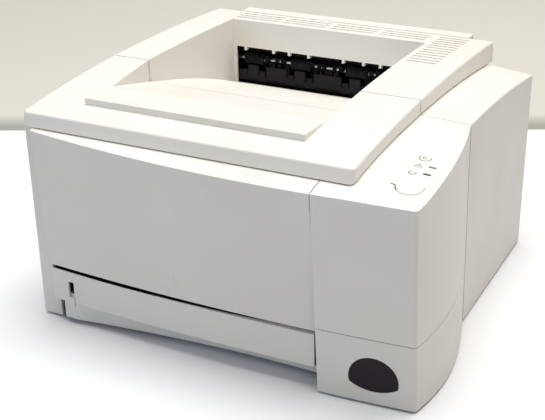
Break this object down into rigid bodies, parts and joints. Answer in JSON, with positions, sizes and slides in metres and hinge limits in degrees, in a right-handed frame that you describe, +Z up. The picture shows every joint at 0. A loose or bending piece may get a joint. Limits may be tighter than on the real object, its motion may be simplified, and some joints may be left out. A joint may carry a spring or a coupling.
{
  "type": "laser printer",
  "caption": "Desktop laser printer with a recessed output bin in its arched lid, a fold-down front tray, a paper cassette and a bulged control column.",
  "frame": {"origin": "on the floor under the middle of the printer's bounding box", "axes": "+X to the printer's right as its front is faced, +Y to its back, +Z up"},
  "size_m": [0.405, 0.412, 0.2282],
  "materials": {
    "cover_plastic": "fine texture",
    "tray_plastic": "fine texture",
    "black_plastic": "fine texture",
    "white_plastic": "smooth",
    "gear_plastic": "smooth",
    "steel_sheet": "zinc plated",
    "shaft_steel": "ground",
    "roller_rubber": "matt",
    "foam_rubber": "foam",
    "drum_coat": "coated",
    "dark_window": "polished",
    "green_board": "coated",
    "clear_green": "clear",
    "clear_red": "clear",
    "mirror_face": "polished",
    "foot_rubber": "matt"
  },
  "bodies": {
    "chassis": {"base_pan": "steel_sheet", "cassette_rails": "black_plastic", "column_foot": "cover_plastic", "control_board": "green_board", "control_cover": "cover_plastic", "cross_members": "steel_sheet", "delivery_guide": "black_plastic", "error_light": "clear_red", "fan_frame": "black_plastic", "formatter_board": "green_board", "fuser_frame": "black_plastic", "ir_window": "dark_window", "left_cover": "cover_plastic", "left_frame": "steel_sheet", "main_motor": "shaft_steel", "paper_guides": "black_plastic", "power_inlet": "black_plastic", "power_supply": "green_board", "ready_light": "clear_green", "rear_cover": "cover_plastic", "right_cover": "cover_plastic", "right_frame": "steel_sheet", "rubber_feet": "foot_rubber", "scanner_housing": "black_plastic", "scanner_lid": "steel_sheet", "toner_cartridge": "black_plastic", "top_cover": "cover_plastic"},
    "cartridge_lid": {"cartridge_door": "cover_plastic"},
    "hand_tray": {"tray_door": "cover_plastic", "tray_door_liner": "tray_plastic"},
    "tray_slide": {"tray_extension": "tray_plastic"},
    "hand_guide_left": {"sheet_guide_left": "tray_plastic"},
    "hand_guide_right": {"sheet_guide_right": "tray_plastic"},
    "paper_tray": {"cassette": "tray_plastic", "cassette_front": "cover_plastic", "separation_pad": "foam_rubber"},
    "lifter": {"lift_plate": "steel_sheet"},
    "gauge_tab": {"paper_gauge": "white_plastic"},
    "tray_guide_left": {"side_guide_left": "tray_plastic"},
    "tray_guide_right": {"side_guide_right": "tray_plastic"},
    "tray_stop": {"rear_stop": "tray_plastic"},
    "pickup": {"pickup_roller": "roller_rubber"},
    "hand_feed": {"hand_feed_roller": "roller_rubber"},
    "registration": {"register_roller": "roller_rubber"},
    "registration_top": {"register_idler": "shaft_steel"},
    "drum_shaft": {"drum": "drum_coat"},
    "transfer": {"transfer_roller": "foam_rubber"},
    "fuser_hot": {"fuser_roller": "shaft_steel"},
    "fuser_pressure": {"pressure_roller": "roller_rubber"},
    "exit_drive": {"exit_shaft": "shaft_steel", "exit_rollers": "roller_rubber"},
    "exit_pinch": {"exit_idlers": "shaft_steel"},
    "gear_main": {"main_gear": "gear_plastic"},
    "gear_idler": {"exit_gear_idler": "gear_plastic"},
    "motor_shaft": {"motor_pinion": "shaft_steel"},
    "mirror_shaft": {"polygon_mirror": "mirror_face"},
    "fan_shaft": {"fan_rotor": "black_plastic"},
    "back_door": {"rear_door": "cover_plastic"},
    "go_key": {"go_button": "cover_plastic"},
    "rocker": {"power_switch": "black_plastic"}
  },
  "joints": [
    {"name": "cartridge_door_hinge", "type": "hinge", "parent": "chassis", "child": "cartridge_lid", "pos_m": [-0.0415, -0.0092, 0.2193], "axis": [-1, 0, 0], "range_deg": [0, 60]},
    {"name": "tray_door_hinge", "type": "hinge", "parent": "chassis", "child": "hand_tray", "pos_m": [-0.0415, -0.1758, 0.08], "axis": [1, 0, 0], "range_deg": [0, 88]},
    {"name": "tray_extension_slide", "type": "slide", "parent": "hand_tray", "child": "tray_slide", "axis": [0, 0, 1], "range_m": [0, 0.06]},
    {"name": "hand_guide_left_slide", "type": "slide", "parent": "hand_tray", "child": "hand_guide_left", "axis": [1, 0, 0], "range_m": [0, 0.05]},
    {"name": "hand_guide_right_slide", "type": "slide", "parent": "hand_tray", "child": "hand_guide_right", "axis": [-1, 0, 0], "range_m": [0, 0.05]},
    {"name": "cassette_slide", "type": "slide", "parent": "chassis", "child": "paper_tray", "axis": [0, -1, 0], "range_m": [0, 0.3]},
    {"name": "lift_plate_hinge", "type": "hinge", "parent": "paper_tray", "child": "lifter", "pos_m": [-0.0415, 0.0124, 0.0102], "axis": [1, 0, 0], "range_deg": [0, 11.5]},
    {"name": "gauge_slide", "type": "slide", "parent": "paper_tray", "child": "gauge_tab", "axis": [0, 0, 1], "range_m": [0, 0.017]},
    {"name": "tray_guide_left_slide", "type": "slide", "parent": "paper_tray", "child": "tray_guide_left", "axis": [1, 0, 0], "range_m": [0, 0.03]},
    {"name": "tray_guide_right_slide", "type": "slide", "parent": "paper_tray", "child": "tray_guide_right", "axis": [-1, 0, 0], "range_m": [0, 0.03]},
    {"name": "tray_stop_slide", "type": "slide", "parent": "paper_tray", "child": "tray_stop", "axis": [0, -1, 0], "range_m": [0, 0.03]},
    {"name": "drum_spin", "type": "hinge", "parent": "chassis", "child": "drum_shaft", "pos_m": [-0.0415, -0.0476, 0.106], "axis": [1, 0, 0], "continuous": true},
    {"name": "pickup_spin", "type": "hinge", "parent": "chassis", "child": "pickup", "pos_m": [-0.0415, -0.1316, 0.06], "axis": [1, 0, 0], "continuous": true},
    {"name": "hand_feed_spin", "type": "hinge", "parent": "chassis", "child": "hand_feed", "pos_m": [-0.0415, -0.1316, 0.0985], "axis": [1, 0, 0], "continuous": true},
    {"name": "registration_spin", "type": "hinge", "parent": "chassis", "child": "registration", "pos_m": [-0.0415, -0.0876, 0.0815], "axis": [1, 0, 0], "continuous": true},
    {"name": "registration_top_spin", "type": "hinge", "parent": "chassis", "child": "registration_top", "pos_m": [-0.0415, -0.0876, 0.0933], "axis": [1, 0, 0], "continuous": true},
    {"name": "transfer_spin", "type": "hinge", "parent": "chassis", "child": "transfer", "pos_m": [-0.0415, -0.0476, 0.0827], "axis": [1, 0, 0], "continuous": true},
    {"name": "fuser_spin", "type": "hinge", "parent": "chassis", "child": "fuser_hot", "pos_m": [-0.0415, 0.0924, 0.104], "axis": [1, 0, 0], "continuous": true},
    {"name": "pressure_spin", "type": "hinge", "parent": "chassis", "child": "fuser_pressure", "pos_m": [-0.0415, 0.0924, 0.0807], "axis": [1, 0, 0], "continuous": true},
    {"name": "exit_spin", "type": "hinge", "parent": "chassis", "child": "exit_drive", "pos_m": [-0.0415, 0.1614, 0.176], "axis": [1, 0, 0], "continuous": true},
    {"name": "exit_pinch_spin", "type": "hinge", "parent": "chassis", "child": "exit_pinch", "pos_m": [-0.0415, 0.16624, 0.18509], "axis": [1, 0, 0], "continuous": true},
    {"name": "main_gear_spin", "type": "hinge", "parent": "chassis", "child": "gear_main", "pos_m": [-0.0415, 0.02324, 0.09257], "axis": [1, 0, 0], "continuous": true},
    {"name": "exit_idler_spin", "type": "hinge", "parent": "chassis", "child": "gear_idler", "pos_m": [-0.0415, 0.12316, 0.14851], "axis": [1, 0, 0], "continuous": true},
    {"name": "motor_spin", "type": "hinge", "parent": "chassis", "child": "motor_shaft", "pos_m": [-0.0415, -0.02763, 0.05695], "axis": [1, 0, 0], "continuous": true},
    {"name": "mirror_spin", "type": "hinge", "parent": "chassis", "child": "mirror_shaft", "pos_m": [-0.0415, 0.0384, 0.13], "axis": [0, 0, 1], "continuous": true},
    {"name": "fan_spin", "type": "hinge", "parent": "chassis", "child": "fan_shaft", "pos_m": [0.1203, 0.1224, 0.173], "axis": [0, 0, 1], "continuous": true},
    {"name": "rear_door_hinge", "type": "hinge", "parent": "chassis", "child": "back_door", "pos_m": [-0.0415, 0.1732, 0.0646], "axis": [-1, 0, 0], "range_deg": [0, 75]},
    {"name": "go_button_press", "type": "slide", "parent": "chassis", "child": "go_key", "axis": [0, 0, -1], "range_m": [0, 0.0012], "stiffness_N_per_m": 400},
    {"name": "power_switch_rock", "type": "hinge", "parent": "chassis", "child": "rocker", "pos_m": [0.1245, 0.1704, 0.04], "axis": [1, 0, 0], "range_deg": [0, 14]}
  ],
  "couplings": [
    {"joint": "tray_extension_slide", "follows": "tray_door_hinge", "m_per_rad": 0.039},
    {"joint": "hand_guide_right_slide", "follows": "hand_guide_left_slide", "ratio": 1},
    {"joint": "tray_guide_right_slide", "follows": "tray_guide_left_slide", "ratio": 1},
    {"joint": "gauge_slide", "follows": "lift_plate_hinge", "m_per_rad": 0.084},
    {"joint": "main_gear_spin", "follows": "drum_spin", "ratio": -0.38462},
    {"joint": "motor_spin", "follows": "drum_spin", "ratio": 2},
    {"joint": "fuser_spin", "follows": "drum_spin", "ratio": 1.1111},
    {"joint": "exit_idler_spin", "follows": "drum_spin", "ratio": -0.55556},
    {"joint": "exit_spin", "follows": "drum_spin", "ratio": 1.8182},
    {"joint": "exit_pinch_spin", "follows": "drum_spin", "ratio": -3.8636},
    {"joint": "transfer_spin", "follows": "drum_spin", "ratio": -1.875},
    {"joint": "pressure_spin", "follows": "drum_spin", "ratio": -1.2121},
    {"joint": "registration_spin", "follows": "drum_spin", "ratio": -2.3077},
    {"joint": "registration_top_spin", "follows": "drum_spin", "ratio": 3}
  ]
}
